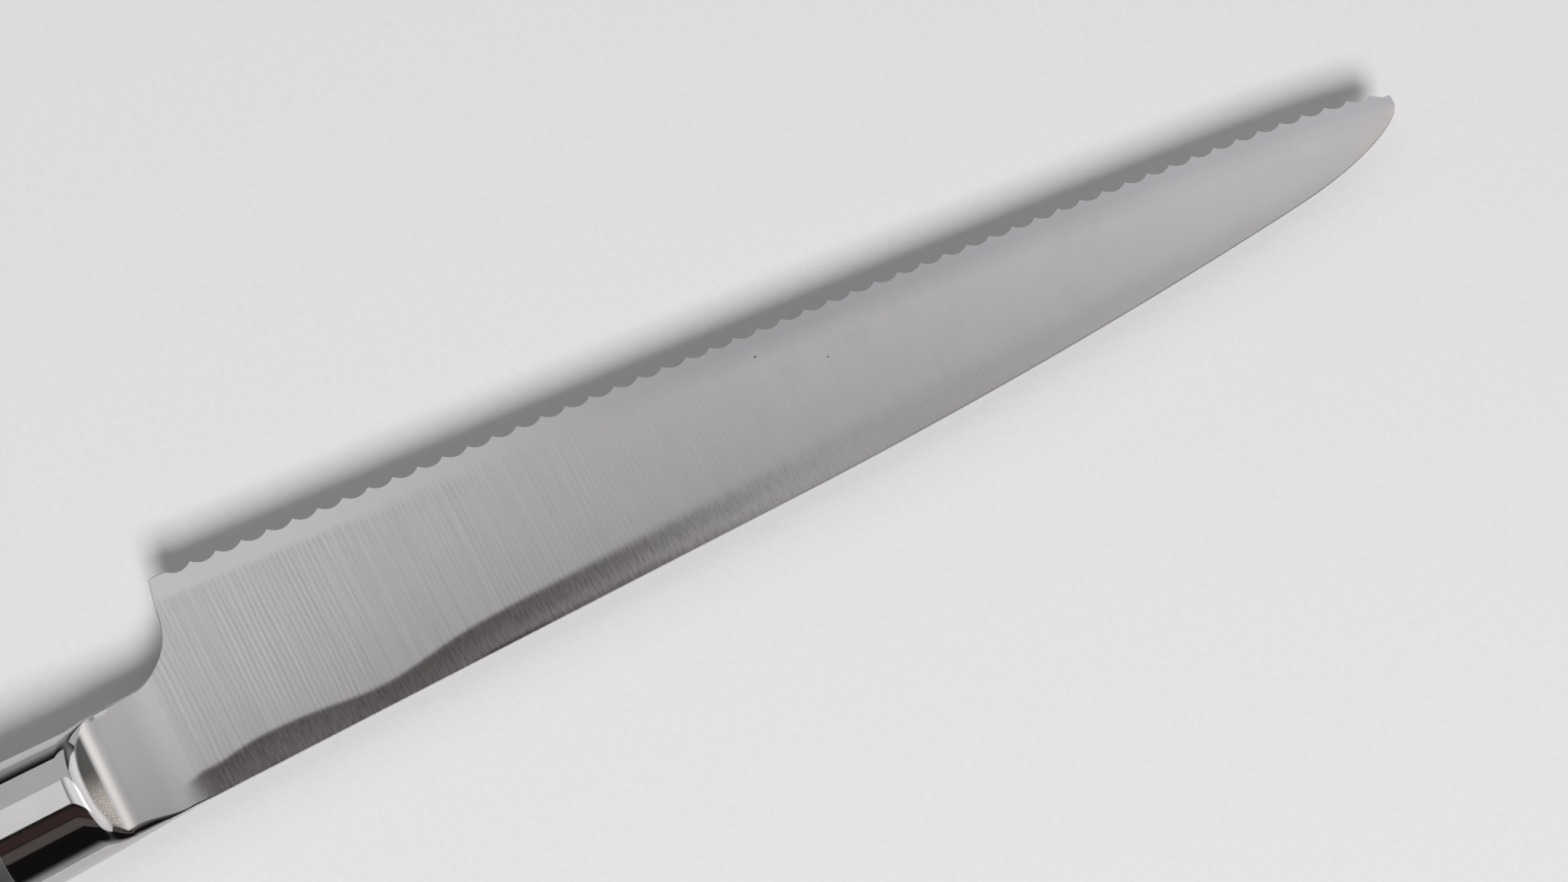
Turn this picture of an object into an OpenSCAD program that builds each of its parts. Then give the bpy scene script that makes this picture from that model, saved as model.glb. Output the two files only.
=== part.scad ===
// Bread knife with a scalloped blade, a polished bolster and a hollow all-steel grip.
// The knife lies on its right side: +X points to the tip, +Y to the cutting edge and +Z out of the left face.
// Every piece is drawn about the knife's datum, which is the foot of the heel on the handle's axis and
// mid-plane, and place() then moves it into the part's frame.

/* [Blade] */
// Length of the blade from heel to tip
blade_l = 240; // [220:1:260]
// Depth of the blade from spine to edge at the heel
heel_h = 38; // [36:0.5:40]
// Thickness of the blade at the heel's spine
spine_t = 2.2; // [2:0.1:2.6]
// Thickness of the blade behind the scallops
edge_t = 1.2; // [1:0.05:1.4]
// Distance from one scallop's point to the next
pitch = 4.58; // [4:0.02:6]
// Depth of a scallop below the line of points
scallop_depth = 0.95; // [0.7:0.05:1.1]
// Angle between the ground bevel and the flat left face
bevel_angle = 25; // [20:1:32]

/* [Bolster] */
// Length of the polished tube from the shoulder to the grip
bolster_l = 16; // [14:0.5:20]
// Height of the handle's section at the shoulder
bolster_h = 22; // [21.5:0.25:22.5]
// Thickness of the handle's section at the shoulder
bolster_w = 14; // [13:0.25:15]
// Radius of the wheel that hollows the shoulder on each side
scoop_r = 6.5; // [6:0.1:7]

/* [Grip] */
// Length of the satin grip between the bolster and the butt cap
grip_l = 95; // [90:1:105]
// Length of the polished butt cap
cap_l = 7; // [6:0.5:9]
// Wall thickness of the pressed half shells
wall = 1.2; // [1:0.1:1.5]
// Growth of the grip towards the fingers on the edge side
belly = 1.2; // [0.6:0.1:2]
// Growth of the grip's half thickness towards the palm
swell = 1; // [0.5:0.1:1.5]
// Hook at the grip's end on the edge side
hook = 3; // [1:0.25:4]

/* [Hidden] */
$fn = 64;

// Blade
spine_y = -10.3;                  // spine at the heel
edge_y = spine_y + heel_h;        // line of points at the heel
edge_fall = 17.2;                 // straight fall of that line towards the tip
edge_bow = 3.7;                   // further fall that bows it outwards
edge_dip = 2;                     // last fall, close to the tip
spine_flat = 110;                 // from here the spine rises towards the tip
spine_r = 1170;                   // radius of that rise
spine_sag = 0.8;                  // slight fall before it
nose_l = 28;                      // length of the rounded nose
nose_y = 2.7;                     // height at which the nose is vertical
land_l = 3.9;                     // plain edge between the heel and the first scallop
heel_lean = 0.8;                  // forward lean of the heel
heel_r = 0.8;                     // radius on the heel's corner
choil_r = 10.5;                   // hollow between the heel and the neck
choil_c = [-10.7, 21.9];
facet_y = -5.2;                   // the spine's narrow facet starts here
facet_angle = 3.3;
face_z = spine_t / 2;             // the flat left face
taper_y = (spine_t - edge_t) / (heel_h - 2.5);
taper_x = 0.0028;                 // thinning towards the tip
taper_turn = [atan(taper_y), -atan(taper_x), 0];
pitch_x = pitch * cos(atan((edge_fall + edge_bow) / blade_l));
scallops = ceil((blade_l - land_l) / pitch_x);
bevel_r = (pow(pitch / 2, 2) + pow(scallop_depth * sin(bevel_angle), 2))
          / (2 * scallop_depth * sin(bevel_angle));
over = 0.4;                       // plate left above the points for the scallops to cut away

// Neck and bolster
neck_y = choil_c.y - choil_r;     // top line of the neck
shoulder_x = -22;                 // ridge between the tube and the hollowed shoulder
bolster_x = shoulder_x - bolster_l;
front_x = -8.2;                   // the bolster's cheeks run out here
collar_x = -20;                   // the blade keeps its full depth up to here
neck_inset = 0.05;                // the cheeks stay this much inside the plate's outline
root_x = -36;                     // rear end of the blade's root
root_h = 13;
root_step = 0.1;                  // the root is this much lower than each face of the blade
neck_foot = [-16.3, 2];           // the wheel leaves the neck's face here
neck_end = [-7.5, face_z];        // and that face meets the blade here
neck_slope = atan((neck_foot.y - neck_end.y) / (neck_end.x - neck_foot.x));
spigot_l = 12;

// Handle
section_n = 2.3;                  // squareness of the oval section
tube_growth = 0.5;                // growth of the half height from shoulder to grip
width_growth = 0.6;
spine_swell = 0.8;
butt_x = bolster_x - grip_l;      // joint between the shells and the cap
end_x = butt_x - cap_l;           // rear end of the knife
cap_r = 4;                        // rounding of the butt
cap_spigot_l = 7;
gap = 0.05;                       // fitting gap around the spigots
steps = 40;                       // points around a section

// Inside the grip
tang_t = 3;
tang_h = 12;
tang_l = 62;
tail_h = 8;
tail_l = 24;
tang_end_x = root_x - tang_l;
pin_r = 1.5;
pin_gap = 0.01;
pin_l = 12;
pin_xs = [bolster_x - 3.2, bolster_x - 8.8];
weight_r = 5.5;
weight_l = 34;
weight_x = tang_end_x - 12;
weight_pin_l = 9.6;
weight_pin_x = tang_end_x + 8;

function mix(a, b, t) = a + (b - a) * t;
function ramp(x, a, b) = max(0, min(1, (x - a) / (b - a)));
function spow(v, p) = sign(v) * pow(abs(v), p);
function spread(a, b, n) = [for (i = [0:n]) mix(a, b, i / n)];
function arc(c, r, a, b, n) = [for (t = spread(a, b, n)) c + r * [cos(t), sin(t)]];

// Line of points and line of the spine: their heights at a place along the blade
function edge_line(x) = let (u = x / blade_l)
    edge_y - edge_fall * u - edge_bow * pow(u, 2) - edge_dip * pow(u, 24);
function spine_line(x) =
    spine_y - spine_sag * ramp(x, 0, spine_flat) + pow(max(0, x - spine_flat), 2) / (2 * spine_r);

// Edge side, spine side and half thickness of the neck and handle at a place along the knife
function along(x) = 1 - ramp(x, end_x, bolster_x);
function tube(x) = 1 - ramp(x, bolster_x, shoulder_x);
function edge_side(x) =
    x >= choil_c.x ? choil_c.y - sqrt(pow(choil_r, 2) - pow(x - choil_c.x, 2))
    : x >= shoulder_x ? mix(bolster_h / 2, neck_y, ramp(x, shoulder_x, shoulder_x + 4))
    : bolster_h / 2 + tube_growth * tube(x) + belly * sin(225 * along(x)) + hook * pow(along(x), 6);
function spine_side(x) =
    x >= shoulder_x ? mix(-bolster_h / 2, spine_y, ramp(x, shoulder_x, front_x))
    : -bolster_h / 2 - tube_growth * tube(x) - spine_swell * sin(180 * along(x));
function half_w(x) =
    x >= shoulder_x ? mix(face_z, bolster_w / 2, sqrt(1 - pow(ramp(x, shoulder_x, front_x + 0.2), 2)))
    : bolster_w / 2 + width_growth * tube(x) + swell * sin(180 * along(x));

// Outline of the blade with its neck and root
heel_x = heel_lean + heel_r;
nose = [for (a = spread(15, 90, 10)) let (x = blade_l - nose_l * (1 - spow(sin(a), 0.8)))
    [x, mix(spine_line(x), nose_y, 1 - cos(a))]];
outline = concat(
    [[root_x, -root_h / 2], [collar_x, -root_h / 2], [collar_x, spine_side(collar_x)], [front_x, spine_y]],
    [for (x = spread(0, blade_l - nose_l, 12)) [x, spine_line(x)]],
    nose,
    [for (x = spread(blade_l, land_l + 1, 12)) [x, edge_line(x) + over]],
    [[land_l, edge_line(land_l)]],
    arc([heel_x, edge_line(heel_x) - heel_r], heel_r, 85, 178, 6),
    arc(choil_c, choil_r, 0, -90, 16),
    [[shoulder_x + 4, neck_y], [collar_x, edge_side(collar_x)], [collar_x, root_h / 2], [root_x, root_h / 2]]
);

// Stations along the lofted pieces, from the butt forwards
shoulder_xs = [for (a = spread(0, 90, 12)) mix(shoulder_x, front_x, sin(a))];
bolster_xs = concat(spread(bolster_x, shoulder_x - 1, 4), shoulder_xs);
grip_xs = spread(butt_x, bolster_x, 20);

// The part's origin is under the middle of its box
origin = [
    (end_x + blade_l) / 2,
    (edge_line(heel_x) + min([for (x = grip_xs) spine_side(x)])) / 2,
    -max([for (x = grip_xs) half_w(x)])
];
module place() translate(-origin) children();

// Point of the handle's oval section at an angle, with the section drawn smaller by an inset
function section_point(x, angle, inset) = let (
    top = edge_side(x) - inset,
    low = spine_side(x) + inset,
    y = mix(low, top, (1 + spow(cos(angle), 2 / section_n)) / 2),
    z = (half_w(x) - inset) * spow(sin(angle), 2 / section_n)
) [x, y, z];
function ring(x, inset) = [for (k = [0:steps - 1]) section_point(x, 360 * k / steps, inset)];

// Solid through rings that follow each other along +X, closed by the given caps
module loft(rings, cap) {
    m = len(rings[0]);
    last = m * (len(rings) - 1);
    polyhedron([for (r = rings) each r], concat(
        cap,
        [for (face = cap) [for (j = [len(face) - 1:-1:0]) last + face[j]]],
        [for (i = [0:m:last - 1], j = [0:m - 1]) let (a = i + j, b = i + (j + 1) % m)
            each [[a, b + m, b], [a, a + m, b + m]]]
    ));
}

module oval_loft(xs, insets) {
    loft([for (i = [0:len(xs) - 1]) ring(xs[i], insets[i])], [[for (j = [0:steps - 1]) j]]);
}

// Half shell: the outer surface runs over the left side and the inner one back
module half_shell() {
    n = steps / 2;
    loft(
        [for (x = grip_xs) [
            for (a = spread(0, 180, n)) section_point(x, a, 0),
            for (a = spread(180, 0, n)) section_point(x, a, wall)
        ]],
        [for (j = [0:n - 1]) [j, j + 1, 2 * n - j, 2 * n + 1 - j]]
    );
}

// Plug that fits inside the half shells between two places
module spigot(a, b) {
    oval_loft(spread(a, b, 4), [for (i = [0:4]) wall + gap]);
}

// One scallop: a wheel's cylinder that cuts the bevel from the right face up to the left one
module scallop(x) {
    p = [x, edge_line(x)];
    q = [x + pitch_x, edge_line(x + pitch_x)];
    translate([(p.x + q.x) / 2, (p.y + q.y) / 2, face_z])
        rotate([0, 0, atan2(q.y - p.y, q.x - p.x)])
            translate([0, -scallop_depth, 0])
                rotate([bevel_angle - 90, 0, 0])
                    translate([0, bevel_r, -6])
                        cylinder(r = bevel_r, h = 9);
}

// Everything beyond the tapered right face, or beyond a plane that lies a step inside it
module beyond_right(step) {
    translate([0, spine_y, -face_z]) rotate(taper_turn)
        translate([2 * root_x, -blade_l / 2, step - spine_t]) cube([2 * blade_l, blade_l, spine_t]);
}

// Two shallow steps that end both faces where the bolster begins
module root_steps() {
    intersection() {
        translate([2 * root_x, -2 * root_h, -spine_t])
            cube([front_x - 2 * root_x, 4 * root_h, 3 * spine_t]);
        union() {
            beyond_right(root_step);
            translate([2 * root_x, -2 * root_h, face_z - root_step]) cube([blade_l, 4 * root_h, spine_t]);
        }
    }
}

// The plate before its scallops: flat on the left, tapered on the right, with a facet along the spine
module blade_plate() {
    difference() {
        translate([0, 0, -face_z]) linear_extrude(spine_t) polygon(outline);
        beyond_right(0);
        translate([front_x, facet_y, face_z]) rotate([facet_angle, 0, 0])
            translate([0, -2 * root_h, 0]) cube([2 * blade_l, 2 * root_h, spine_t]);
        root_steps();
    }
}

// Room that the wheel and the flat behind it leave above the neck's left face
module scoop() {
    rotate([90, 0, 0]) linear_extrude(4 * root_h, center = true) {
        translate(neck_foot + scoop_r * [sin(neck_slope), cos(neck_slope)]) circle(scoop_r);
        polygon([neck_foot, neck_end, neck_end + [4, 0], neck_end + [4, bolster_w],
                 neck_foot + [0, bolster_w]]);
    }
}

module right_scoop() {
    hinge = [0, spine_y, -face_z];
    translate(hinge) rotate([taper_turn.x, 0, 0]) translate(-hinge) mirror([0, 0, 1]) scoop();
}

module tang_bar() {
    translate([tang_end_x, -tail_h / 2, -tang_t / 2]) cube([tang_l, tail_h, tang_t]);
    translate([tang_end_x + tail_l, -tang_h / 2, -tang_t / 2]) cube([tang_l - tail_l, tang_h, tang_t]);
}

module pin(x, length, r = pin_r) {
    translate([x, 0, 0]) cylinder(r = r, h = length, center = true);
}

module pin_holes() {
    for (x = [for (x = pin_xs) x, weight_pin_x]) pin(x, 2 * bolster_w, pin_r + pin_gap);
}

module blade() {
    color("gainsboro") place() difference() {
        blade_plate();
        for (i = [0:scallops - 1]) scallop(land_l + i * pitch_x);
    }
}

module bolster() {
    color("silver") place() difference() {
        union() {
            difference() {
                oval_loft(bolster_xs, [for (x = bolster_xs) neck_inset * ramp(x, shoulder_x, collar_x)]);
                scoop();
                right_scoop();
            }
            spigot(bolster_x - spigot_l, bolster_x + 1);
        }
        blade_plate();
        tang_bar();
        pin_holes();
    }
}

module tang() {
    color("dimgray") place() difference() {
        tang_bar();
        pin_holes();
    }
}

module tang_pins() {
    color("slategray") place() for (x = pin_xs) pin(x, pin_l);
}

module balance_weight() {
    color("gray") place() difference() {
        translate([weight_x, 0, 0]) rotate([0, 90, 0]) cylinder(r = weight_r, h = weight_l);
        tang_bar();
        pin_holes();
    }
}

module weight_pin() {
    color("slategray") place() pin(weight_pin_x, weight_pin_l);
}

module grip_shell_left() {
    color("darkgray") place() half_shell();
}

module grip_shell_right() {
    color("darkgray") place() mirror([0, 0, 1]) half_shell();
}

module butt_cap() {
    cap_angles = spread(0, 90, 6);
    color("silver") place() union() {
        oval_loft(
            [for (a = cap_angles) end_x + cap_r * (1 - cos(a)), butt_x],
            [for (a = cap_angles) cap_r * (1 - sin(a)), 0]
        );
        spigot(butt_x - 1, butt_x + cap_spigot_l);
    }
}

blade();
bolster();
tang();
tang_pins();
balance_weight();
weight_pin();
grip_shell_left();
grip_shell_right();
butt_cap();
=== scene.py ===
"""Looks of the bread knife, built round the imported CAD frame.

Shapes are drawn in millimetres about the knife's datum (foot of the heel, handle axis, mid-plane), as in the
CAD source: x runs to the tip, y to the cutting edge, z out of the left face. DATUM carries them into the
frame.
"""

import math

import bmesh
import bpy
import numpy as np
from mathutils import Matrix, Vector


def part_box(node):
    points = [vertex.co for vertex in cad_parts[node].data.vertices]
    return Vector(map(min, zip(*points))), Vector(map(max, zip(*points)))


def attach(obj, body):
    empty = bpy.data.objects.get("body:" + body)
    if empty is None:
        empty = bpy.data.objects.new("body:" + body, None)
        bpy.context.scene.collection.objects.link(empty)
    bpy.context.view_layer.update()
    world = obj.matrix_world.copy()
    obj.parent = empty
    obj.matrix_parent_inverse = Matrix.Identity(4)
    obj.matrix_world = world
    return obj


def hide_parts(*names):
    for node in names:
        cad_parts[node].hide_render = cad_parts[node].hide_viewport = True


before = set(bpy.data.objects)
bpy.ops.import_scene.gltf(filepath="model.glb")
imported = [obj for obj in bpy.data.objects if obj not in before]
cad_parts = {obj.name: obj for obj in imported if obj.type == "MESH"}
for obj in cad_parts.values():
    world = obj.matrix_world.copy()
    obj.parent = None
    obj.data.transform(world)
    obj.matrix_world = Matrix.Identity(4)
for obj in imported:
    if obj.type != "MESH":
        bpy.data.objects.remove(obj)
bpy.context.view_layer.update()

# ---------------------------------------------------------------- driving dimensions, in millimetres
MM = 0.001
TANG_LOW, TANG_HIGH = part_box("tang")
BLADE_LOW, BLADE_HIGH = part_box("blade")
SHELL_LOW, SHELL_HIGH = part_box("grip_shell_left")
CAP_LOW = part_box("butt_cap")[0]
BLADE_L = 240.0
FACE_Z = (BLADE_HIGH.z - BLADE_LOW.z) / 2 / MM
DATUM = Vector((BLADE_HIGH.x - BLADE_L * MM, (TANG_LOW.y + TANG_HIGH.y) / 2, (TANG_LOW.z + TANG_HIGH.z) / 2))

# the blade's outline: line of points, spine, nose, heel and choil
HEEL_H = 38.0
SPINE_Y = -10.3
EDGE_Y = SPINE_Y + HEEL_H
EDGE_FALL, EDGE_BOW, EDGE_DIP = 17.2, 3.7, 2.0
SPINE_FLAT, SPINE_R, SPINE_SAG = 110.0, 1170.0, 0.8
NOSE_L, NOSE_Y = 28.0, 2.7
HEEL_LEAN, HEEL_R = 0.8, 0.8
CHOIL_R, CHOIL_X, CHOIL_Y = 10.5, -10.7, 21.9

# its scallops, which start after a plain land, and the taper of its right face
LAND_L = 3.9
PITCH, SCALLOP_DEPTH = 4.58, 0.95
BEVEL = math.radians(25)
TAPER_Y, TAPER_X = 1 / 35.5, 0.0028

# the facet along the spine and the band along the edge of its left face
FACET_ANGLE, FACET_HOLLOW = math.radians(5.6), 0.035
FACET_Y, FACET_TURN = -4.9, 1.6
FACET_DIPS = ((28, 12, 2.0), (-2.5, 5, 0.9))  # place, width and depth
FACET_START, FACET_FADE = (-10.0, -3.6), (44, 118)
BAND_ANGLE, BAND_W = math.radians(1.6), 4.3

# neck and root
NECK_Y = CHOIL_Y - CHOIL_R
NECK_END_X, NECK_BLEND = -7.5, 0.16
NECK_FOOT_X, NECK_FOOT_Z = -16.3, 2.0
SEAM_X, FRONT_X = -9.0, -8.2
ROOT_X, ROOT_FRONT_X, ROOT_H = -36.0, -13.1, 13.0
TUCK_X, TUCK = -13.0, 0.15

# bolster, with its hollowed shoulder, and grip
BOLSTER_H, BOLSTER_W = 22.0, 14.0
SHOULDER_X = -22.0
HOLLOW_R, RIDGE_X = 7.7, -21.9
BOLSTER_X = (SHELL_HIGH.x - DATUM.x) / MM
BUTT_X = (SHELL_LOW.x - DATUM.x) / MM
END_X = (CAP_LOW.x - DATUM.x) / MM
SPIGOT_L, CAP_SPIGOT_L = 12.0, 7.0
WALL, SPIGOT_GAP = 1.2, 0.05
TUBE_GROWTH, WIDTH_GROWTH = 0.5, 0.6
BELLY, SWELL, SPINE_SWELL, HOOK = 1.2, 1.0, 0.8, 3.0
CAP_R, CAP_CROWN = 4.0, 0.5
SECTION_N, NECK_SECTION_N = 2.3, 8

# softened corners; a corner of radius r is two chamfers that meet at CORNER * r
EDGE_ROUND, NECK_ROUND = 0.12, 0.34
BOLSTER_RIM, GRIP_RIM = 0.10, 0.12
CORNER = 0.3

# marks of the grind, and dark specks as x, y and radius
LINES_PER_M = 1060
SPECKS = ((110.6, 14.3, 0.34), (122.1, 8.4, 0.26))

# rows of the blade's mesh draw together where it is lower than this
ROWS_H = 18.5

EDGE_SLOPE = math.atan((EDGE_FALL + EDGE_BOW) / BLADE_L)
PITCH_X = PITCH * math.cos(EDGE_SLOPE)
NECK_SLOPE = (NECK_FOOT_Z - FACE_Z) / (NECK_END_X - NECK_FOOT_X)
BEVEL_R = ((PITCH / 2) ** 2 + (SCALLOP_DEPTH * math.sin(BEVEL)) ** 2) / (2 * SCALLOP_DEPTH * math.sin(BEVEL))


# ---------------------------------------------------------------- small mathematics
def ramp(x, a, b):
    return np.clip((np.asarray(x, float) - a) / (b - a), 0, 1)


def ease(x, a, b):
    t = ramp(x, a, b)
    return t * t * (3 - 2 * t)


def mix(a, b, t):
    return a + (b - a) * t


def signed_power(v, p):
    return np.sign(v) * np.abs(v) ** p


def soft_over(v, width):
    """v where it is positive and 0 where it is negative, with a round corner of that width."""
    return np.where(v > width, v, np.where(v < -width, 0, (v + width) ** 2 / (4 * width)))


def soft_min(a, b, width):
    return a - soft_over(a - b, width)


# ---------------------------------------------------------------- the blade's lines
def edge_line(x):
    u = np.asarray(x, float) / BLADE_L
    return EDGE_Y - EDGE_FALL * u - EDGE_BOW * u**2 - EDGE_DIP * u**24


def scallop_cut(x):
    """Depth of the scallops below the line of points."""
    u = (np.asarray(x, float) - LAND_L) / PITCH_X
    from_middle = (u - np.floor(u) - 0.5) * PITCH
    rise = BEVEL_R / math.sin(BEVEL) * (1 - np.sqrt(1 - (from_middle / BEVEL_R) ** 2))
    return np.where(u > 0, np.maximum(SCALLOP_DEPTH - rise, 0), 0)


def spine_line(x):
    x = np.asarray(x, float)
    base = SPINE_Y - SPINE_SAG * ramp(x, 0, SPINE_FLAT) + np.maximum(0, x - SPINE_FLAT) ** 2 / (2 * SPINE_R)
    t = ramp(x, BLADE_L - NOSE_L, BLADE_L)
    return mix(base, NOSE_Y, 1 - np.sqrt(1 - t**2.5))


def choil_line(x):
    return CHOIL_Y - np.sqrt(np.maximum(CHOIL_R**2 - np.clip(x - CHOIL_X, 0, CHOIL_R) ** 2, 0))


def facet_border(x):
    """Upper edge of the spine's facet: a line with two shallow dips, as a hand-held grind leaves."""
    dips = sum(depth * np.exp(-(((x - place) / width) ** 2)) for place, width, depth in FACET_DIPS)
    return FACET_Y - dips - FACET_TURN * (1 - ease(x, *FACET_START))


def neck_rise(x):
    """Height of the neck's face over the blade's: a gentle slope up to the bolster."""
    return soft_over(NECK_SLOPE * (NECK_END_X - np.asarray(x, float)), NECK_BLEND)


def left_z(x, y):
    """Left face: flat, with a hollow facet falling away along the spine and a slight one along the edge."""
    x, y = np.asarray(x, float), np.asarray(y, float)
    fade = (1 - 0.9 * ease(x, *FACET_FADE)) * ease(x, *FACET_START)
    width = mix(0.35, 1.6, ease(x, 40, 120))
    depth = soft_over(facet_border(x) - y, width)
    facet = fade * (math.tan(FACET_ANGLE) * depth - FACET_HOLLOW * np.minimum(depth, 5) ** 2 / 10)
    band = math.tan(BAND_ANGLE) * soft_over(y - (edge_line(x) - BAND_W), 0.7) * ease(x, -2, 1)
    return FACE_Z + neck_rise(x) - facet - band


def right_z(x, y):
    """Right face: one plane that tapers the blade towards its edge and its tip."""
    return -FACE_Z - neck_rise(x) + TAPER_Y * (y - SPINE_Y) + TAPER_X * np.maximum(x, 0)


# ---------------------------------------------------------------- the handle's lines
def along(x):
    return 1 - ramp(x, END_X, BOLSTER_X)


def tube(x):
    return 1 - ramp(x, BOLSTER_X, SHOULDER_X)


def edge_side(x):
    x = np.asarray(x, float)
    neck = mix(BOLSTER_H / 2, NECK_Y, ease(x, SHOULDER_X, SHOULDER_X + 5))
    belly = BELLY * np.sin(1.25 * math.pi * along(x))
    handle = BOLSTER_H / 2 + TUBE_GROWTH * tube(x) + belly + HOOK * along(x) ** 6
    return np.where(x >= CHOIL_X, choil_line(x), np.where(x >= SHOULDER_X, neck, handle))


def spine_side(x):
    x = np.asarray(x, float)
    neck = mix(-BOLSTER_H / 2, SPINE_Y, ramp(x, SHOULDER_X, FRONT_X))
    handle = -BOLSTER_H / 2 - TUBE_GROWTH * tube(x) - SPINE_SWELL * np.sin(math.pi * along(x))
    return np.where(x >= SHOULDER_X, neck, handle)


def half_width(x):
    x = np.asarray(x, float)
    shoulder = mix(FACE_Z, BOLSTER_W / 2, np.sqrt(1 - ramp(x, SHOULDER_X, FRONT_X + 2.5) ** 2))
    handle = BOLSTER_W / 2 + WIDTH_GROWTH * tube(x) + SWELL * np.sin(math.pi * along(x))
    return np.where(x >= SHOULDER_X, shoulder, handle)


def section(x, angles, inset=0.0):
    """Points of the handle's oval section at x: a squared oval between the two side lines."""
    top, low = edge_side(x) - inset, spine_side(x) + inset
    power = 2 / mix(SECTION_N, NECK_SECTION_N, ease(x, -15, SEAM_X))
    y = mix(low, top, (1 + signed_power(np.cos(angles), power)) / 2)
    z = (half_width(x) - inset) * signed_power(np.sin(angles), power)
    return np.stack([np.full_like(y, x), y, z], 1)


def hollow_z(x):
    """Height of the hollowed shoulder over the mid-plane: straight flank, wheel's arc, neck's face."""
    x = np.asarray(x, float)
    turn = math.atan(NECK_SLOPE)
    centre_x = NECK_FOOT_X + HOLLOW_R * math.sin(turn)
    centre_z = NECK_FOOT_Z + HOLLOW_R * math.cos(turn)
    reach = centre_x - x
    top = centre_x - RIDGE_X
    flank = math.sqrt(HOLLOW_R**2 - top**2)
    arc = centre_z - np.sqrt(HOLLOW_R**2 - np.clip(reach, 0, top) ** 2)
    line = centre_z - flank + (reach - top) * top / flank
    return np.where(x < RIDGE_X, line, np.where(x < NECK_FOOT_X, arc, FACE_Z + neck_rise(x)))


# ---------------------------------------------------------------- mesh helpers
def smooth_by_angle(mesh, degrees):
    """Joins points that fall together, and keeps edges that turn more than that sharp."""
    bm = bmesh.new()
    bm.from_mesh(mesh)
    bmesh.ops.remove_doubles(bm, verts=bm.verts, dist=0.0002 * MM)
    bmesh.ops.recalc_face_normals(bm, faces=bm.faces)
    limit = math.radians(degrees)
    for f in bm.faces:
        f.smooth = True
    for e in bm.edges:
        e.smooth = len(e.link_faces) == 2 and e.calc_face_angle(0) < limit
    bm.to_mesh(mesh)
    bm.free()


def ring_mesh(name, rings, material, sharp, cap_first=None, attributes=None):
    """A closed mesh through rings of points that follow each other along the knife.

    Each end is capped by one face, or by the faces in cap_first, which number the points of a ring.
    """
    rings = np.asarray(rings, float)
    count, m = rings.shape[:2]
    verts = rings.reshape(-1, 3) * MM + np.array(DATUM)
    i, j = np.meshgrid(np.arange(count - 1) * m, np.arange(m), indexing="ij")
    a, b = i + j, i + (j + 1) % m
    faces = np.stack([a, a + m, b + m, b], -1).reshape(-1, 4)[:, ::-1].tolist()
    first = cap_first or [list(range(m))]
    last = [[(count - 1) * m + k for k in face] for face in first]
    faces += [list(f)[::-1] for f in first] + last
    mesh = bpy.data.meshes.new(name)
    mesh.from_pydata(verts.tolist(), [], faces)
    for key, values in (attributes or {}).items():
        layer = mesh.attributes.new(key, "FLOAT", "POINT")
        layer.data.foreach_set("value", np.asarray(values, np.float32).ravel())
    smooth_by_angle(mesh, sharp)
    add_grain_uv(mesh)
    obj = bpy.data.objects.new(name, mesh)
    bpy.context.scene.collection.objects.link(obj)
    mesh.materials.append(material)
    return obj


def add_grain_uv(mesh):
    """A flat projection in metres, so that the blurred reflections of ground steel spread along the knife."""
    layer = mesh.uv_layers.new(name="grain")
    co = np.zeros(len(mesh.vertices) * 3)
    mesh.vertices.foreach_get("co", co)
    index = np.zeros(len(mesh.loops), int)
    mesh.loops.foreach_get("vertex_index", index)
    layer.data.foreach_set("uv", co.reshape(-1, 3)[index][:, :2].ravel())


def place(obj, slot, *nodes):
    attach(obj, "root")
    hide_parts(*nodes)
    return obj


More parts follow.
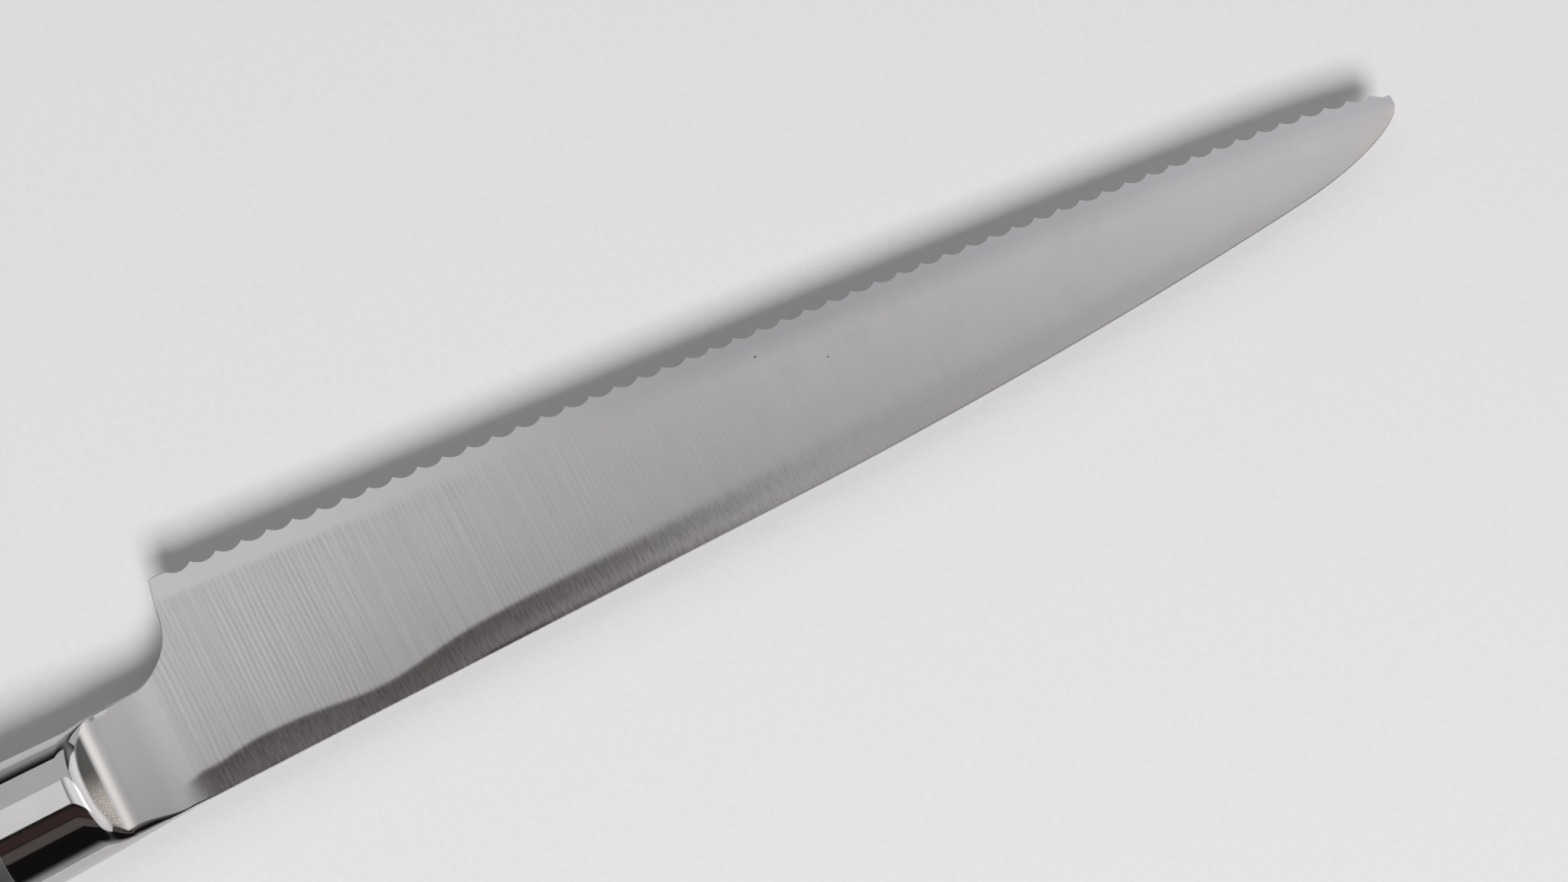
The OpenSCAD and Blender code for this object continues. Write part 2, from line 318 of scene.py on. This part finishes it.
# ---------------------------------------------------------------- materials
class Nodes:
    """A short way to write a node tree."""

    def __init__(self, tree, coordinate="Object"):
        self.tree = tree
        self.point = self.make("ShaderNodeTexCoord").outputs[coordinate]

    def make(self, kind, **settings):
        n = self.tree.nodes.new(kind)
        for key, value in settings.items():
            setattr(n, key, value)
        return n

    def feed(self, socket, value):
        if isinstance(value, bpy.types.NodeSocket):
            self.tree.links.new(value, socket)
        else:
            socket.default_value = value

    def noise(self, scale, detail=3.0, rough=0.5):
        """Noise in the object's metres; scale is a triple of cycles per metre."""
        m = self.make("ShaderNodeMapping")
        self.feed(m.inputs["Vector"], self.point)
        m.inputs["Scale"].default_value = scale
        n = self.make("ShaderNodeTexNoise")
        self.feed(n.inputs["Vector"], m.outputs[0])
        n.inputs["Scale"].default_value = 1
        n.inputs["Detail"].default_value = detail
        n.inputs["Roughness"].default_value = rough
        return n.outputs["Fac"]

    def math(self, operation, *values):
        n = self.make("ShaderNodeMath", operation=operation)
        for socket, value in zip(n.inputs, values):
            self.feed(socket, value)
        return n.outputs[0]

    def plus(self, first, *others):
        for other in others:
            first = self.math("ADD", first, other)
        return first

    def times(self, first, *others):
        for other in others:
            first = self.math("MULTIPLY", first, other)
        return first

    def span(self, value, low, high, to_low=0.0, to_high=1.0, smooth=False):
        n = self.make("ShaderNodeMapRange", interpolation_type="SMOOTHSTEP" if smooth else "LINEAR")
        self.feed(n.inputs["Value"], value)
        self.feed(n.inputs["From Min"], low)
        self.feed(n.inputs["From Max"], high)
        self.feed(n.inputs["To Min"], to_low)
        self.feed(n.inputs["To Max"], to_high)
        return n.outputs[0]

    def blend(self, factor, a, b, mode="MIX"):
        n = self.make("ShaderNodeMix", data_type="RGBA", blend_type=mode)
        self.feed(n.inputs["Factor"], factor)
        self.feed(n.inputs["A"], a)
        self.feed(n.inputs["B"], b)
        return n.outputs["Result"]

    def axes(self):
        n = self.make("ShaderNodeSeparateXYZ")
        self.feed(n.inputs[0], self.point)
        return n.outputs

    def bump(self, height, distance):
        n = self.make("ShaderNodeBump")
        self.feed(n.inputs["Height"], height)
        n.inputs["Distance"].default_value = distance
        n.inputs["Strength"].default_value = 1.0
        return n.outputs[0]


class Surface(Nodes):
    """A material with its node tree and shader."""

    def __init__(self, name):
        self.material = bpy.data.materials.new(name)
        self.material.use_nodes = True
        self.shader = self.material.node_tree.nodes["Principled BSDF"]
        super().__init__(self.material.node_tree)

    def grain_along(self, amount):
        """Blurred reflections spread along the knife, because the grind lines run across it."""
        tangent = self.make("ShaderNodeTangent", direction_type="UV_MAP", uv_map="grain")
        self.feed(self.shader.inputs["Tangent"], tangent.outputs[0])
        self.shader.inputs["Anisotropic"].default_value = amount

    def finish(self, color, roughness, normal=None, metallic=1.0):
        self.feed(self.shader.inputs["Base Color"], color)
        self.feed(self.shader.inputs["Roughness"], roughness)
        if normal is not None:
            self.feed(self.shader.inputs["Normal"], normal)
        self.shader.inputs["Metallic"].default_value = metallic
        return self.material


class KnifeSteel(Surface):
    """Blade, neck and bolster: satin ground across the blade, mirror-polished where the polish mask says so.

    The grind is coarse and regular by the heel and fine towards the tip. A band follows the edge and a hollow
    facet
    the spine, both with painted reflection: the band painted bright, the facet painted darker; masks on the
    mesh tell where they are.
    """

    def __init__(self, name):
        super().__init__(name)
        self.x, self.y, self.z = self.axes()
        self.band = self.mask("band")
        self.facet = self.mask("facet")
        self.polish = self.mask("polish")
        # steep and fillet place the painted shade and glints of the hollow's flank and the painted highlight
        # of its fillet
        self.steep = self.mask("steep")
        self.fillet = self.mask("fillet")
        self.satin = self.math("SUBTRACT", 1.0, self.polish)
        self.quiet = self.math("SUBTRACT", 1.0, self.times(self.band, 0.9))
        self.cloud = self.noise((26, 60, 60))
        self.wobble = self.noise((160, 45, 45), detail=2.0)
        self.smear = self.noise((70, 150, 150), detail=4.0, rough=0.6)
        self.fine = self.fine_grain()
        self.lines = self.grind_lines()

    def mask(self, key):
        return self.make("ShaderNodeAttribute", attribute_name=key).outputs["Fac"]

    def along(self, start, end, low=0.0, high=1.0):
        """Smooth change between two places along the knife, in millimetres from the heel."""
        return self.span(self.x, DATUM.x + start * MM, DATUM.x + end * MM, low, high, smooth=True)

    def across(self, start, end, low=0.0, high=1.0):
        """Smooth change between two places across the knife, in millimetres from the handle's axis."""
        return self.span(self.y, DATUM.y + start * MM, DATUM.y + end * MM, low, high, smooth=True)

    def grain(self, scale, detail, rough, low, high):
        """Noise between low and high, spread to run from -1 to 1."""
        return self.span(self.noise(scale, detail, rough), low, high, -1.0, 1.0)

    def fine_grain(self):
        return self.times(self.grain((3400, 130, 130), 3.0, 0.65, 0.3, 0.7), self.along(50, 160, 1.0, 0.35))

    def grind_lines(self):
        """Regular lines a millimetre apart and irregular ones, strong by the heel and faint at the tip."""
        phase = self.plus(self.times(self.x, LINES_PER_M), self.times(self.wobble, 1.6))
        regular = self.math("SINE", self.times(phase, 2 * math.pi))
        patch = self.span(self.noise((70, 50, 50), detail=2.0), 0.35, 0.65)
        random = self.grain((1500, 22, 22), 2.0, 0.6, 0.3, 0.7)
        crisp = self.grain((2600, 60, 60), 1.0, 0.5, 0.40, 0.64)
        lines = self.plus(self.times(regular, patch, 0.75), self.times(random, 0.42), self.times(crisp, 0.26))
        fading = self.times(self.along(22, 85, 1.0, 0.25), self.along(110, 190, 1.0, 0.3))
        return self.times(lines, self.along(-9.5, -1), fading, self.quiet)

    def face_color(self):
        """The ground face with its faint clouds, smudges and hues."""
        clouds = self.span(self.cloud, 0.35, 0.65)
        smudge = self.noise((9, 30, 30), detail=4.0, rough=0.6)
        hue = self.noise((210, 120, 120), detail=2.0)
        base = self.blend(clouds, (0.608, 0.586, 0.594, 1), (0.640, 0.620, 0.630, 1))
        base = self.blend(self.span(smudge, 0.42, 0.68, 0.0, 0.35), base, (0.582, 0.566, 0.575, 1))
        return self.blend(self.span(hue, 0.4, 0.62), base, (0.606, 0.600, 0.597, 1))

    def add_band(self, base):
        """The band along the edge, with painted reflection: painted bright by the heel, painted darker than
        the face further on.
        """
        # painted reflection: the band's colour runs from bright by the heel to dark further on
        color = self.blend(self.along(30, 120), (0.70, 0.70, 0.71, 1), (0.455, 0.45, 0.475, 1))
        return self.blend(self.times(self.band, 0.85), base, color)

    def add_facet(self, base):
        """The facet along the spine, painted darker as painted shade, with a painted highlight along its rim
        by the spine.
        """
        # painted shade: the facet darkened in colour
        base = self.blend(self.times(self.facet, 0.35), base, (0.54, 0.515, 0.515, 1))
        # painted highlight: a paler rim along the facet by the spine
        rim = self.times(self.along(26, 60), self.across(-6.8, -9.8), self.facet)
        return self.blend(self.times(rim, 0.8), base, (0.78, 0.75, 0.75, 1))

    def add_specks(self, base):
        """Small dark specks on the left face."""
        for speck_x, speck_y, radius in SPECKS:
            dx = self.math("SUBTRACT", self.x, DATUM.x + speck_x * MM)
            dy = self.math("SUBTRACT", self.y, DATUM.y + speck_y * MM)
            distance = self.math("SQRT", self.plus(self.times(dx, dx), self.times(dy, dy)))
            speck = self.span(distance, radius * MM / 3, radius * MM, 0.8, 0.0)
            speck = self.times(speck, self.math("GREATER_THAN", self.z, DATUM.z))
            base = self.blend(speck, base, (0.07, 0.07, 0.07, 1))
        return base

    def add_stain(self, base):
        """A faint warm tint by the nose."""
        patches = self.span(self.noise((260, 260, 260)), 0.35, 0.6)
        stain = self.times(self.along(224, 237), patches, self.across(3, 0))
        return self.blend(self.times(stain, 0.7), base, (0.66, 0.575, 0.52, 1))

    def add_neck(self, base):
        """A painted highlight where the neck runs out into the blade, and a painted highlight on the fillet
        at its other end.
        """
        # painted highlight across the neck where it meets the blade
        painted_neck_highlight = self.times(self.along(-12.5, -8.2), self.along(-8.2, -4, 1.0, 0.0))
        painted_neck_highlight = self.times(painted_neck_highlight, self.span(self.wobble, 0.3, 0.6, 0.3, 0.9))
        base = self.blend(painted_neck_highlight, base, (0.72, 0.72, 0.725, 1))
        # painted highlight along the fillet below the hollow's flank
        return self.blend(self.times(self.fillet, 0.85), base, (0.90, 0.87, 0.845, 1))

    def add_hollow(self, base):
        """The shoulder's hollow: painted shade towards the edge side, painted glints in a grain towards the
        spine side.
        """
        # painted glints: bright grainy specks on the spine side of the hollow
        glint = self.span(self.noise((7500, 3600, 7500), rough=0.7), 0.36, 0.66, 0.15, 1.0)
        painted_glints = self.times(self.across(3, -3.4), glint)
        # painted shade: dark colour over the hollow's flank, lit up by the painted glints
        color = self.blend(painted_glints, (0.055, 0.052, 0.048, 1), (0.74, 0.68, 0.60, 1))
        return self.blend(self.times(self.steep, 0.92), base, color)

    def add_grind(self, base):
        """Shade of the grind lines, of the fine grain and of the facet's short ticks."""
        ticks = self.times(self.grain((2500, 420, 420), 2.0, 0.6, 0.36, 0.66), self.facet, 0.17)
        shade = self.plus(1.0, self.times(self.lines, 0.12), self.times(self.fine, 0.022), ticks)
        return self.blend(1.0, base, shade, "MULTIPLY")

    def color(self):
        base = self.add_facet(self.add_band(self.face_color()))
        base = self.add_stain(self.add_specks(base))
        base = self.add_hollow(self.add_neck(base))
        base = self.add_grind(base)
        smears = self.span(self.smear, 0.35, 0.65)
        mirror = self.blend(smears, (0.545, 0.53, 0.53, 1), (0.585, 0.57, 0.572, 1))
        return self.blend(self.polish, base, mirror)

    def roughness(self):
        ground = self.plus(self.span(self.cloud, 0.3, 0.7, 0.315, 0.345), self.times(self.fine, 0.015))
        gloss = self.span(self.smear, 0.4, 0.75, 0.05, 0.10)
        return self.plus(self.times(ground, self.satin), self.times(gloss, self.polish))

    def relief(self):
        grit = self.noise((4200, 2600, 4200), rough=0.7)
        grit = self.times(grit, self.satin, self.along(-19, -13, 1.0, 0.03), 1.6)
        relief = self.plus(self.times(self.lines, 0.22), self.times(self.fine, self.quiet, 0.16), grit)
        return self.bump(self.times(relief, self.satin), 0.006 * MM)


def knife_steel(name):
    n = KnifeSteel(name)
    n.grain_along(0.72)
    return n.finish(n.color(), n.roughness(), n.relief())


def blasted_steel():
    """Fine even satin of the pressed grip shells."""
    n = Surface("blasted_steel")
    grain = n.noise((6500, 6500, 6500), detail=2.0, rough=0.6)
    cloud = n.noise((45, 70, 70))
    color = n.blend(n.span(cloud, 0.35, 0.65), (0.54, 0.54, 0.55, 1), (0.60, 0.60, 0.605, 1))
    roughness = n.plus(n.span(cloud, 0.3, 0.7, 0.47, 0.53), n.span(grain, 0.3, 0.7, -0.03, 0.03))
    return n.finish(color, roughness, n.bump(grain, 0.012 * MM))


def machined_steel():
    """Plain turned and milled steel of the pieces inside the grip."""
    n = Surface("machined_steel")
    lines = n.noise((4200, 300, 300), detail=2.0, rough=0.6)
    cloud = n.noise((90, 90, 90))
    color = n.blend(n.span(cloud, 0.35, 0.65), (0.33, 0.33, 0.335, 1), (0.42, 0.41, 0.40, 1))
    return n.finish(color, n.span(cloud, 0.3, 0.7, 0.36, 0.46), n.bump(lines, 0.01 * MM))


# ---------------------------------------------------------------- pieces
def blade_columns():
    """Places along the blade, dense where its outline turns."""
    quarter = np.linspace(0, math.pi / 2, 60)
    choil = CHOIL_X + CHOIL_R * np.sin(quarter)
    heel = np.linspace(CHOIL_X + CHOIL_R, HEEL_LEAN, 10)[1:]
    corner = HEEL_LEAN + HEEL_R * (1 - np.cos(np.linspace(0, math.pi / 2, 8)[1:]))
    land = np.linspace(corner[-1], LAND_L, 6)[1:]
    per_scallop, scallops = 12, 52
    fine = LAND_L + PITCH_X * np.arange(1, scallops * per_scallop) / per_scallop
    nose = BLADE_L - NOSE_L * (1 - np.sin(np.linspace(0.9, math.pi / 2, 26)) ** 0.8)
    nose = nose[nose < BLADE_L - 0.004][4:]
    return np.concatenate([choil, heel, corner, land, fine[fine < nose[0]], nose])


def blade_top(x):
    """Upper side of the outline: choil, leaning heel, round corner, then the scalloped line."""
    x = np.asarray(x, float)
    foot = CHOIL_X + CHOIL_R
    head_y = edge_line(HEEL_LEAN + HEEL_R) - HEEL_R
    lean = mix(CHOIL_Y, head_y, ramp(x, foot, HEEL_LEAN))
    corner = head_y + np.sqrt(np.maximum(HEEL_R**2 - np.clip(HEEL_LEAN + HEEL_R - x, 0, HEEL_R) ** 2, 0))
    line = edge_line(x) - scallop_cut(x)
    blade = np.where(x < HEEL_LEAN + HEEL_R, corner, line)
    return np.where(x < foot, choil_line(x), np.where(x < HEEL_LEAN, lean, blade))


def corner_round(x, height):
    """Radius of the blade's corners at x: larger on the neck."""
    return mix(NECK_ROUND, EDGE_ROUND, float(ease(x, SEAM_X, -3))) * min(1.0, height / 4)


def blade_rows(top, low, line):
    """Heights of the left face's rows: close over the facet and the edge band, wide apart between."""
    squeeze = min(1.0, (top - low) / ROWS_H)
    facet = low + squeeze * np.concatenate([np.linspace(0.6, 8.1, 24), [8.8, 9.6]])
    last = top - 0.45 * squeeze
    band = line - squeeze * np.linspace(6.6, 2.2, 12)
    band -= max(0.0, band[-1] - last + 0.3 * squeeze)
    middle = np.linspace(facet[-1], band[0], 6)[1:-1]
    return np.concatenate([facet, middle, band, np.linspace(band[-1], last, 4)[1:]])


def plain_edge(x, top, turn, r):
    """Square edge of the choil, the heel and the land; turn is the outline's inward normal there."""
    ix, iy = x + r * turn[0], top + r * turn[1]
    jx, jy = x + CORNER * r * turn[0], top + CORNER * r * turn[1]
    left, right = float(left_z(ix, iy)), float(right_z(ix, iy))
    return [[ix, iy, left], [jx, jy, left - CORNER * r], [x, top, left - r],
            [x, top, right + r], [jx, jy, right + CORNER * r], [ix, iy, right]]


def bevelled_edge(x, top, low):
    """A scallop's bevel, ground from the right face."""
    z_top = float(left_z(x, top))
    run = (z_top - float(right_z(x, top))) / (math.tan(BEVEL) + TAPER_Y)
    run = min(run, 0.8 * (top - low))
    foot_z = max(z_top - run * math.tan(BEVEL), float(right_z(x, top - run)))
    return [[x, top - run * t, mix(z_top, foot_z, t)] for t in (0, 0.2, 0.4, 0.6, 0.8, 1)]


def blade_ring(x, top, low, turn=(0, -1)):
    """Closed section of the blade at x: up the left face, over the edge and down the right face."""
    line = max(float(edge_line(x)), top) if x > HEEL_LEAN + HEEL_R else top
    r = corner_round(x, top - low)
    z_low = float(left_z(x, low + r))
    left = [[x, low, z_low - r], [x, low + CORNER * r, z_low - CORNER * r], [x, low + r, z_low]]
    left += [[x, y, float(left_z(x, y))] for y in blade_rows(top, low, line)]
    edge = plain_edge(x, top, turn, r) if x <= LAND_L else bevelled_edge(x, top, low)
    back = np.linspace(edge[-1][1], low + r, 12)[1:]
    right = [[x, y, float(right_z(x, y))] for y in back]
    z_low = right[-1][2]
    right += [[x, low + CORNER * r, z_low + CORNER * r], [x, low, z_low + r]]
    return left + edge + right


def root_rings():
    """The root inside the bolster, and the neck's stretch that tucks under the bolster's skin."""
    rings = []
    for x in (ROOT_X, ROOT_FRONT_X):
        ring = blade_ring(x, ROOT_H / 2, -ROOT_H / 2)
        rings.append([[p[0], p[1], math.copysign(min(abs(p[2]), FACE_Z - 0.2), p[2])] for p in ring])
    for x in (TUCK_X, SEAM_X - 0.08):
        ring = blade_ring(x, float(edge_side(x)) - 2 * TUCK, float(spine_side(x)) + TUCK)
        rings.append([[p[0], p[1], p[2] - math.copysign(TUCK, p[2])] for p in ring])
    return rings


def outline_rings():
    """The blade from the bolster's seam to the tip."""
    xs = blade_columns()
    gap = 0.02
    xs = np.concatenate([[SEAM_X - gap], xs[xs > SEAM_X + gap]])
    tops = blade_top(xs)
    lows = np.where(xs < 0, np.where(xs < FRONT_X, spine_side(xs), SPINE_Y), spine_line(xs))
    rings = []
    for x, top, low, grade in zip(xs, tops, lows, np.gradient(tops, xs)):
        length = math.hypot(grade, 1)
        rings.append(blade_ring(float(x), float(top), float(low), (grade / length, -1 / length)))
    return rings


def blade_masks(x, y, z):
    """Where the left face carries the band along the edge and the facet along the spine."""
    upper = z > 0
    soft = mix(0.55, 2.4, ease(x, 10, 80))
    band = ease((y - edge_line(x) + BAND_W) / soft, -1, 1) * ease(x, -1.5, 1.5) * upper
    facet = ease(facet_border(x) - y, -0.35, 0.5) * upper
    facet = facet * mix(1, 0.1, ease(x, 60, 140)) * ease(x, *FACET_START)
    return {"band": band, "facet": facet}


def build_blade(material):
    rings = np.array(root_rings() + outline_rings())
    masks = blade_masks(rings[..., 0], rings[..., 1], rings[..., 2])
    obj = ring_mesh("blade_body", rings, material, sharp=18, attributes=masks)
    return place(obj, "blade_steel", "blade")


def bolster_stations():
    """Places along the bolster, dense over the hollow of the shoulder."""
    collar = np.linspace(BOLSTER_X + 0.6, -26.5, 14)
    shoulder = np.linspace(-26.2, -16, 92)
    neck = np.linspace(-15.8, SEAM_X, 34)
    return np.concatenate([collar, shoulder, neck])


def shoulder_round(x):
    """How softly the oval runs over into the hollow: wide at the shoulder, almost nothing on the neck."""
    return mix(2.9, 0.06, ease(x, -21.5, -17))


def neck_corner(x, y):
    """Radius of the neck's corners: a rolled lip along the spine side, a smaller one along the edge side."""
    start = np.where(y < 0, 2.1, 0.75)
    return mix(start, NECK_ROUND, ease(x, -18, SEAM_X))


def bolster_ring(x, angles):
    """The oval section at x cut by the hollow on each side, with the masks for its steel.

    What the wheel has cut is satin; within it, steep is the flank, which gets painted shade and painted
    glints, and fillet is the turn below, which gets a painted highlight.
    """
    ring = section(x, angles)
    y, z = ring[:, 1], ring[:, 2]
    tilt = TAPER_Y * (y - SPINE_Y) * ease(x, -21, -15)
    floor = np.where(z >= 0, hollow_z(x), hollow_z(x) - tilt)
    height = np.abs(z)
    r = neck_corner(x, y)
    near = np.clip(np.minimum(float(edge_side(x)) - y, y - float(spine_side(x))), 0, r)
    corner = r - np.sqrt(r**2 - (r - near) ** 2)
    cut = soft_min(height, floor - corner * ease(x, -20, -17.5), shoulder_round(x))
    ring[:, 2] = np.where(z >= 0, cut, -cut)
    cover = ease(height - floor, 1.2, 1.9)
    lip = ease(corner / r, 0.04, 0.22) * (y < 0) * (1 - ease(x, -12, -9.4))
    # where the hollow gets painted shade and glints (steep) and a painted highlight (fillet)
    steep = cover * ease(floor, 2.95, 3.35)
    fillet = cover * ease(floor, 2.2, 2.6) * (1 - ease(floor, 2.75, 3.05))
    return ring, {"polish": 1 - cover * (1 - lip), "steep": steep, "fillet": fillet}


def build_bolster(material):
    """Spigot, polished tube, hollowed shoulder and neck as one surface."""
    angles = np.linspace(0, 2 * math.pi, 216, endpoint=False)
    spigot = WALL + SPIGOT_GAP
    bevel = CORNER * BOLSTER_RIM
    starts = [(BOLSTER_X - SPIGOT_L, spigot), (BOLSTER_X - SPIGOT_L / 2, spigot), (BOLSTER_X, spigot),
              (BOLSTER_X, BOLSTER_RIM), (BOLSTER_X + bevel, bevel), (BOLSTER_X + BOLSTER_RIM, 0.0)]
    none = np.zeros(len(angles))
    rings = [section(x, angles, inset) for x, inset in starts]
    masks = [{"polish": none + 1, "steep": none, "fillet": none} for _ in starts]
    for x in bolster_stations():
        ring, here = bolster_ring(x, angles)
        rings.append(ring)
        masks.append(here)
    attributes = {key: np.array([m[key] for m in masks]) for key in masks[0]}
    obj = ring_mesh("bolster_body", rings, material, sharp=40, attributes=attributes)
    return place(obj, "polished_steel", "bolster")


def build_shell(name, side, material):
    """One pressed half of the grip: outer wall, fine chamfers at its rims and seam, and the inner wall."""
    count = 72
    outer = np.linspace(0, math.pi, count)
    middle = np.linspace(BUTT_X + 1.5, BOLSTER_X - 1.5, 70)
    xs = [BUTT_X, BUTT_X + GRIP_RIM, *middle, BOLSTER_X - GRIP_RIM, BOLSTER_X]
    rings = []
    for x in xs:
        inset = GRIP_RIM if x in (xs[0], xs[-1]) else 0.0
        out = section(x, outer, inset)
        out[:, 2] = np.maximum(out[:, 2], 0)
        out[0, 1] -= GRIP_RIM / 2
        out[-1, 1] += GRIP_RIM / 2
        back = section(x, outer[::-1], WALL)
        ring = np.concatenate([out, back])
        ring[:, 2] *= side
        rings.append(ring if side > 0 else ring[::-1])
    m = 2 * count
    strips = [[j, j + 1, m - 2 - j, m - 1 - j] for j in range(count - 1)]
    obj = ring_mesh(name, rings, material, sharp=35, cap_first=strips)
    return place(obj, "satin_steel", name.replace("_skin", ""))


def build_cap(material):
    """Butt cap: slightly crowned end, round rim, and the spigot inside the shells."""
    angles = np.linspace(0, 2 * math.pi, 160, endpoint=False)
    turns = np.linspace(0, math.pi / 2, 22)
    rings = []
    for share in (0.02, 0.25, 0.5, 0.75):
        inset = mix(float(half_width(END_X)) * 0.98, CAP_R, share)
        rings.append(section(END_X + CAP_CROWN * share**2, angles, inset))
    for t in turns:
        x = END_X + CAP_CROWN + (CAP_R - CAP_CROWN) * (1 - math.cos(t))
        rings.append(section(x, angles, CAP_R * (1 - math.sin(t))))
    rim = GRIP_RIM
    for x, inset in ((BUTT_X - 0.5, 0), (BUTT_X - rim, 0), (BUTT_X - rim / 3, rim / 4), (BUTT_X, rim)):
        rings.append(section(x, angles, inset))
    for x in (BUTT_X, BUTT_X + CAP_SPIGOT_L / 2, BUTT_X + CAP_SPIGOT_L):
        rings.append(section(x, angles, WALL + SPIGOT_GAP))
    masks = {"polish": np.ones((len(rings), len(angles)))}
    obj = ring_mesh("butt_cap_dome", rings, material, sharp=40, attributes=masks)
    return place(obj, "polished_steel", "butt_cap")


def finish_inner_pieces(material):
    """The pieces inside the grip keep their CAD shape."""
    for node in ("tang", "tang_pins", "balance_weight", "weight_pin"):
        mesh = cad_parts[node].data
        mesh.materials.clear()
        mesh.materials.append(material)


# ---------------------------------------------------------------- floor, light and camera
def build_floor():
    half = 3.0
    mesh = bpy.data.meshes.new("floor")
    corners = [(-half, -half, 0), (half, -half, 0), (half, half, 0), (-half, half, 0)]
    mesh.from_pydata(corners, [], [(0, 1, 2, 3)])
    n = Surface("pale_floor")
    grain = n.noise((900, 900, 900), detail=2.0)
    color = n.blend(n.span(grain, 0.3, 0.7), (0.60, 0.60, 0.60, 1), (0.62, 0.62, 0.62, 1))
    mesh.materials.append(n.finish(color, 0.8, metallic=0.0))
    floor = bpy.data.objects.new("floor", mesh)
    bpy.context.scene.collection.objects.link(floor)


def add_area(name, location, target, size, power):
    light = bpy.data.lights.new(name, "AREA")
    light.shape = "RECTANGLE"
    light.size, light.size_y = size
    light.energy = power
    obj = bpy.data.objects.new(name, light)
    obj.location = location
    obj.rotation_euler = (Vector(target) - Vector(location)).to_track_quat("-Z", "Y").to_euler()
    bpy.context.scene.collection.objects.link(obj)
    return obj


def studio_world():
    """Room around the table: bright low down, dark overhead, with two stripes on the spine's side."""
    world = bpy.data.worlds.new("studio")
    world.use_nodes = True
    bpy.context.scene.world = world
    n = Nodes(world.node_tree, "Generated")
    x, y, z = n.axes()
    slant = n.math("DIVIDE", y, n.math("MAXIMUM", z, 0.02))
    low = n.span(z, 0.10, 0.52, 0.40, 0.0, smooth=True)
    stripe = n.times(n.span(slant, -0.45, -0.40), n.span(slant, -0.20, -0.16, 1.0, 0.0))
    warm = n.times(n.span(slant, -0.19, -0.12, smooth=True), n.span(slant, 0.0, 0.05, 1.0, 0.0))
    color = n.blend(stripe, (0.009, 0.008, 0.008, 1), (0.115, 0.102, 0.095, 1))
    color = n.blend(warm, color, (0.055, 0.035, 0.033, 1))
    color = n.blend(low, color, (1, 1, 1, 1))
    n.feed(n.tree.nodes["Background"].inputs["Color"], color)


def panel_power(size, radiance):
    return radiance * math.pi * size[0] * size[1]


def add_panel(name, xs, ys, radiance):
    """Level soft box over the table, from xs[0] to xs[1] and ys[0] to ys[1] for each metre of height."""
    height = 0.9
    size = ((xs[1] - xs[0]) * height, (ys[1] - ys[0]) * height)
    x, y = (xs[0] + xs[1]) * height / 2, (ys[0] + ys[1]) * height / 2
    add_area(name, (x, y, height), (x, y, 0), size, panel_power(size, radiance))


def build_lights():
    """A row of soft boxes that the blade mirrors, one behind it, one at the end, and a fill for the floor."""
    row = (0.06, 0.40)
    add_panel("heel_panel", (-1.0, 0.0), row, 0.98)
    add_panel("middle_panel", (0.0, 0.25), row, 0.40)
    add_panel("far_blade_panel", (0.25, 0.5), row, 0.80)
    add_panel("tip_panel", (0.5, 2.6), row, 1.15)
    add_panel("back_panel", (-1.0, 1.5), (0.40, 1.45), 0.62)
    end_size = (1.1, 0.9)
    add_area("end_panel", (1.7, 0.05, 0.55), (0, 0.05, 0.3), end_size, panel_power(end_size, 0.75))
    fill = add_area("floor_fill", (-0.25, -1.15, 1.45), (0, 0, 0), (0.8, 0.8), 44)
    fill.visible_glossy = False
    bpy.context.scene.view_settings.view_transform = "Standard"
    studio_world()


def build_camera():
    """The photograph's view of the left face: rolled, a little from the spine's side and the handle's end."""
    roll, swing, lean = math.radians(27.4), math.radians(10.19), math.radians(8.0)
    aim = Vector((107.86, -1.39, FACE_Z)) * MM + DATUM
    distance = 0.38179
    data = bpy.data.cameras.new("camera")
    data.lens, data.sensor_width = 50, 36
    data.clip_start = 0.01
    camera = bpy.data.objects.new("camera", data)
    camera.rotation_mode = "ZYX"
    camera.rotation_euler = (lean, -swing, -roll)
    bpy.context.scene.collection.objects.link(camera)
    bpy.context.scene.camera = camera
    back = camera.rotation_euler.to_matrix() @ Vector((0, 0, 1))
    camera.location = aim + distance * back


build_floor()
build_lights()
build_camera()
STEEL = knife_steel("ground_steel")
POLISH = knife_steel("polished_steel")
BLAST = blasted_steel()
build_blade(STEEL)
build_bolster(POLISH)
build_shell("grip_shell_left_skin", 1, BLAST)
build_shell("grip_shell_right_skin", -1, BLAST)
build_cap(POLISH)
finish_inner_pieces(machined_steel())
